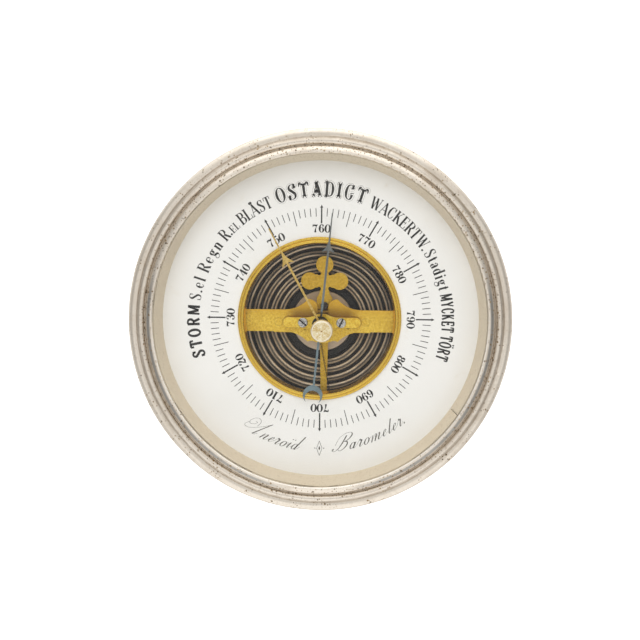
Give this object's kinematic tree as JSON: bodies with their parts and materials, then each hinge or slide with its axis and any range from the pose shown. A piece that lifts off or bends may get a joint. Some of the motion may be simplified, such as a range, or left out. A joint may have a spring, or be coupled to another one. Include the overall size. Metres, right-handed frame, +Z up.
{
  "type": "aneroid barometer",
  "caption": "Round wall aneroid barometer with a nickel bezel, white dial in millimetres of mercury, open centre showing a corrugated capsule, blued hand and gilt set hand.",
  "frame": {"origin": "centre of the hanging hole in the flat back face of the case", "axes": "+Z up, +Y out of the back towards the wall, the dial looks along -Y, +X to the right as the dial is read"},
  "size_m": [0.1494, 0.056, 0.1494],
  "materials": {
    "nickel_plate": "worn satin nickel plate over spun brass",
    "case_screw_steel": "darkened steel",
    "bright_steel": "polished steel",
    "glass": "flat polished glass",
    "matt_tan": "matt beige lacquer over brass",
    "white_dial": "off-white dial with black print",
    "gilt_brass": "frosted gilding",
    "plain_brass": "plain brass",
    "bronzed_metal": "bronzed and tarnished",
    "blued_steel": "blued steel",
    "gilt_hand": "lacquered brass"
  },
  "bodies": {
    "case": {"case_drum": "nickel_plate", "bezel": "nickel_plate", "hanger_plate": "nickel_plate", "hanger_rivets": "nickel_plate", "case_screws": "case_screw_steel", "bracket_screws": "case_screw_steel", "bridge_foot_screws": "case_screw_steel", "dial_foot_screws": "case_screw_steel", "cock_screws": "bright_steel", "lever_pivot_pin": "bright_steel", "chain": "bright_steel", "capsule_spring": "bright_steel", "glass": "glass", "reveal_ring": "matt_tan", "dial": "white_dial", "dial_inner_ring": "gilt_brass", "bridge": "gilt_brass", "cock": "gilt_brass", "strap_rivets": "gilt_brass", "dial_feet": "plain_brass", "plate_spacers": "plain_brass", "movement_plate": "plain_brass", "lever_carrier": "plain_brass", "shaft_brackets": "plain_brass", "hairspring_stud": "plain_brass", "capsule_stud": "plain_brass", "capsule_upper": "bronzed_metal", "capsule_lower": "bronzed_metal", "hairspring": "blued_steel"},
    "hand": {"arbor": "bright_steel", "chain_drum": "plain_brass", "hand_pipe": "plain_brass", "pressure_hand": "blued_steel"},
    "capsule_centre": {"capsule_post": "plain_brass"},
    "lever": {"main_lever": "gilt_brass", "lever_trefoil": "gilt_brass", "lever_screw": "case_screw_steel", "link_pin": "bright_steel"},
    "link": {"link_rod": "bright_steel"},
    "rocker": {"rock_shaft": "bright_steel", "input_arm": "plain_brass", "chain_arm": "plain_brass"},
    "setting_hand": {"set_hand": "gilt_hand", "set_spindle": "gilt_hand", "spindle_nut": "gilt_hand", "set_knob": "gilt_hand"},
    "adjuster": {"adjusting_screw": "case_screw_steel"}
  },
  "joints": [
    {"name": "hand_turn", "type": "hinge", "parent": "case", "child": "hand", "pos_m": [0, -0.038, -0.05905], "axis": [0, 1, 0], "range_deg": [-216.2, 113.8]},
    {"name": "capsule_breathe", "type": "slide", "parent": "case", "child": "capsule_centre", "axis": [0, 1, 0], "range_m": [-0.000151, 0.0000804], "deforming": ["capsule_upper", "capsule_spring"]},
    {"name": "lever_rock", "type": "hinge", "parent": "case", "child": "lever", "pos_m": [0.0005, -0.0241, -0.0553], "axis": [1, 0, 0], "range_deg": [-2.49, 1.33]},
    {"name": "link_swing", "type": "hinge", "parent": "lever", "child": "link", "pos_m": [0.0005, -0.0241, -0.0933], "axis": [1, 0, 0], "range_deg": [-1.33, 2.49]},
    {"name": "shaft_rock", "type": "hinge", "parent": "case", "child": "rocker", "pos_m": [0.0005, -0.0123, -0.0973], "axis": [1, 0, 0], "range_deg": [-12.24, 23.21], "deforming": ["chain"]},
    {"name": "set_hand_turn", "type": "hinge", "parent": "case", "child": "setting_hand", "pos_m": [0.0009, -0.0442, -0.0601], "axis": [0, 1, 0], "continuous": true},
    {"name": "adjuster_turn", "type": "hinge", "parent": "case", "child": "adjuster", "pos_m": [0.0005, -0.0052, -0.0588], "axis": [0, 1, 0], "range_deg": [-180, 180]}
  ],
  "couplings": [
    {"joint": "shaft_rock", "follows": "hand_turn", "ratio": -0.10714},
    {"joint": "lever_rock", "follows": "hand_turn", "ratio": 0.011278},
    {"joint": "link_swing", "follows": "hand_turn", "ratio": -0.011278},
    {"joint": "capsule_breathe", "follows": "hand_turn", "m_per_rad": 0.000039474}
  ]
}
